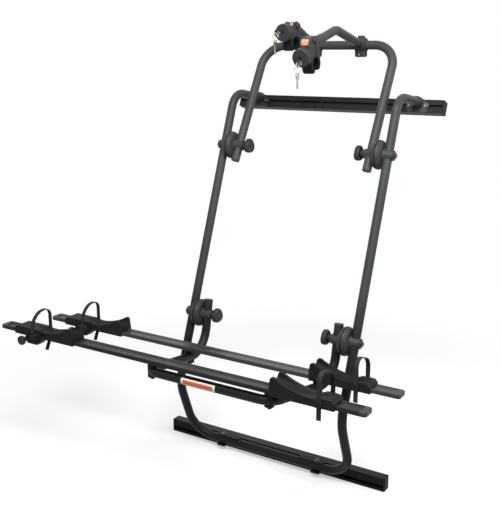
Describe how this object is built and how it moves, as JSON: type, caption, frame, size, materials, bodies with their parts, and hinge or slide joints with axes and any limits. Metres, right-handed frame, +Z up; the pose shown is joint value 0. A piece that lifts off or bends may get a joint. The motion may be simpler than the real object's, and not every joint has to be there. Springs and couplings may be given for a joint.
{
  "type": "campervan bike rack",
  "caption": "Tubular rear carrier for bicycles with wall rails, a fold-up platform with wheel trays and straps, a tilting upper hoop and lockable holding arms.",
  "frame": {"origin": "centre of the lower wall rail's back face, which bears on the van's tailgate", "axes": "+X to the right seen from behind the van, +Y towards the van, +Z up"},
  "size_m": [1.3, 0.8476, 1.38],
  "materials": {
    "frame_paint": "satin",
    "rail_anodised": "matte",
    "black_plastic": "matte",
    "knob_plastic": "satin",
    "black_rubber": "matte",
    "zinc_steel": "satin",
    "bright_chrome": "gloss"
  },
  "bodies": {
    "frame": {"main_frame": "frame_paint", "bottom_rail": "rail_anodised", "top_rail": "rail_anodised", "wall_rail_seals": "black_rubber", "wall_rail_caps": "black_plastic", "top_brackets": "frame_paint", "bottom_clips": "frame_paint", "mounting_bolts": "zinc_steel", "outer_shells": "black_plastic", "knuckle_bolts": "zinc_steel"},
    "hoop": {"upper_hoop": "frame_paint", "hoop_shells": "black_plastic", "hoop_plugs": "black_plastic"},
    "platform": {"platform_frame": "frame_paint", "platform_shells": "black_plastic", "platform_plugs": "black_plastic", "rail_saddles": "black_plastic", "saddle_clamps": "black_plastic", "saddle_bolts": "zinc_steel", "front_rail": "rail_anodised", "rear_rail": "rail_anodised", "rail_end_caps": "black_plastic"},
    "lower_left_knob": {"knob_lower_left": "knob_plastic"},
    "lower_right_knob": {"knob_lower_right": "knob_plastic"},
    "upper_left_knob": {"knob_upper_left": "knob_plastic"},
    "upper_right_knob": {"knob_upper_right": "knob_plastic"},
    "front_left_holder": {"wheel_holder_front_left": "black_plastic", "wheel_strap_front_left": "black_plastic"},
    "front_right_holder": {"wheel_holder_front_right": "black_plastic", "wheel_strap_front_right": "black_plastic"},
    "front_holder_knob": {"holder_knob_front": "black_plastic"},
    "rear_left_holder": {"wheel_holder_rear_left": "black_plastic", "wheel_strap_rear_left": "black_plastic"},
    "rear_right_holder": {"wheel_holder_rear_right": "black_plastic", "wheel_strap_rear_right": "black_plastic"},
    "rear_holder_knob": {"holder_knob_rear": "black_plastic"},
    "long_bush": {"long_arm_bush": "black_plastic"},
    "long_arm": {"long_arm_clamp": "frame_paint", "long_arm_tube": "frame_paint", "long_arm_head": "black_plastic", "long_arm_head_pad": "black_rubber", "long_arm_bolts": "zinc_steel"},
    "long_jaw": {"long_arm_jaw": "black_plastic", "long_arm_jaw_pad": "black_rubber"},
    "long_knob": {"long_arm_knob": "knob_plastic"},
    "long_lock": {"long_arm_lock": "bright_chrome", "long_arm_key": "bright_chrome"},
    "long_spare_key": {"long_arm_spare_key": "bright_chrome"},
    "short_bush": {"short_arm_bush": "black_plastic"},
    "short_arm": {"short_arm_clamp": "frame_paint", "short_arm_tube": "frame_paint", "short_arm_head": "black_plastic", "short_arm_head_pad": "black_rubber", "short_arm_bolts": "zinc_steel"},
    "short_jaw": {"short_arm_jaw": "black_plastic", "short_arm_jaw_pad": "black_rubber"},
    "short_knob": {"short_arm_knob": "knob_plastic"},
    "short_lock": {"short_arm_lock": "bright_chrome", "short_arm_key": "bright_chrome"},
    "short_spare_key": {"short_arm_spare_key": "bright_chrome"}
  },
  "joints": [
    {"name": "hoop_tilt", "type": "hinge", "parent": "frame", "child": "hoop", "pos_m": [0, 0.14809, 0.96775], "axis": [1, 0, 0], "range_deg": [-20, 60]},
    {"name": "platform_fold", "type": "hinge", "parent": "frame", "child": "platform", "pos_m": [0, -0.047, 0.4375], "axis": [1, 0, 0], "range_deg": [-95, 10]},
    {"name": "lower_left_knob_turn", "type": "hinge", "parent": "frame", "child": "lower_left_knob", "pos_m": [-0.205, -0.047, 0.4375], "axis": [1, 0, 0], "continuous": true},
    {"name": "lower_right_knob_turn", "type": "hinge", "parent": "frame", "child": "lower_right_knob", "pos_m": [0.205, -0.047, 0.4375], "axis": [-1, 0, 0], "continuous": true},
    {"name": "upper_left_knob_turn", "type": "hinge", "parent": "frame", "child": "upper_left_knob", "pos_m": [-0.205, 0.14809, 0.96775], "axis": [1, 0, 0], "continuous": true},
    {"name": "upper_right_knob_turn", "type": "hinge", "parent": "frame", "child": "upper_right_knob", "pos_m": [0.205, 0.14809, 0.96775], "axis": [-1, 0, 0], "continuous": true},
    {"name": "front_left_holder_slide", "type": "slide", "parent": "platform", "child": "front_left_holder", "axis": [1, 0, 0], "range_m": [-0.04, 0.15]},
    {"name": "front_right_holder_slide", "type": "slide", "parent": "platform", "child": "front_right_holder", "axis": [1, 0, 0], "range_m": [-0.08, 0.06]},
    {"name": "front_holder_knob_turn", "type": "hinge", "parent": "front_left_holder", "child": "front_holder_knob", "pos_m": [-0.694, -0.4307, 0.3738], "axis": [0, -1, 0], "continuous": true},
    {"name": "rear_left_holder_slide", "type": "slide", "parent": "platform", "child": "rear_left_holder", "axis": [1, 0, 0], "range_m": [-0.04, 0.15]},
    {"name": "rear_right_holder_slide", "type": "slide", "parent": "platform", "child": "rear_right_holder", "axis": [1, 0, 0], "range_m": [-0.08, 0.06]},
    {"name": "rear_holder_knob_turn", "type": "hinge", "parent": "rear_left_holder", "child": "rear_holder_knob", "pos_m": [-0.694, -0.2071, 0.339], "axis": [0, -1, 0], "continuous": true},
    {"name": "long_bush_slide", "type": "slide", "parent": "hoop", "child": "long_bush", "axis": [1, 0, 0], "range_m": [-0.08, 0.025]},
    {"name": "long_arm_turn", "type": "hinge", "parent": "long_bush", "child": "long_arm", "pos_m": [0.114, 0.32214, 1.2883], "axis": [1, 0, 0], "range_deg": [-60, 75]},
    {"name": "long_jaw_swing", "type": "hinge", "parent": "long_arm", "child": "long_jaw", "pos_m": [0.114, -0.03456, 1.3014], "axis": [-1, 0, 0], "range_deg": [0, 12]},
    {"name": "long_knob_turn", "type": "hinge", "parent": "long_jaw", "child": "long_knob", "pos_m": [0.114, -0.05174, 1.2557], "axis": [0, -0.9686, -0.2487], "continuous": true},
    {"name": "long_lock_turn", "type": "hinge", "parent": "long_knob", "child": "long_lock", "pos_m": [0.114, -0.07731, 1.23468], "axis": [0, -0.9686, -0.2487], "range_deg": [0, 90]},
    {"name": "long_spare_key_swing", "type": "hinge", "parent": "long_lock", "child": "long_spare_key", "pos_m": [0.114, -0.09513, 1.2274], "axis": [1, 0, 0], "range_deg": [-30, 30]},
    {"name": "short_bush_slide", "type": "slide", "parent": "hoop", "child": "short_bush", "axis": [1, 0, 0], "range_m": [-0.09, 0.06]},
    {"name": "short_arm_turn", "type": "hinge", "parent": "short_bush", "child": "short_arm", "pos_m": [-0.047, 0.32214, 1.2883], "axis": [1, 0, 0], "range_deg": [-60, 75]},
    {"name": "short_jaw_swing", "type": "hinge", "parent": "short_arm", "child": "short_jaw", "pos_m": [-0.047, 0.157, 1.35], "axis": [-1, 0, 0], "range_deg": [0, 12]},
    {"name": "short_knob_turn", "type": "hinge", "parent": "short_jaw", "child": "short_knob", "pos_m": [-0.047, 0.129, 1.324], "axis": [0, -1, 0], "continuous": true},
    {"name": "short_lock_turn", "type": "hinge", "parent": "short_knob", "child": "short_lock", "pos_m": [-0.06095, 0.099, 1.32278], "axis": [0, -1, 0], "range_deg": [0, 90]},
    {"name": "short_spare_key_swing", "type": "hinge", "parent": "short_lock", "child": "short_spare_key", "pos_m": [-0.06095, 0.0806, 1.32008], "axis": [1, 0, 0], "range_deg": [-30, 12]}
  ]
}
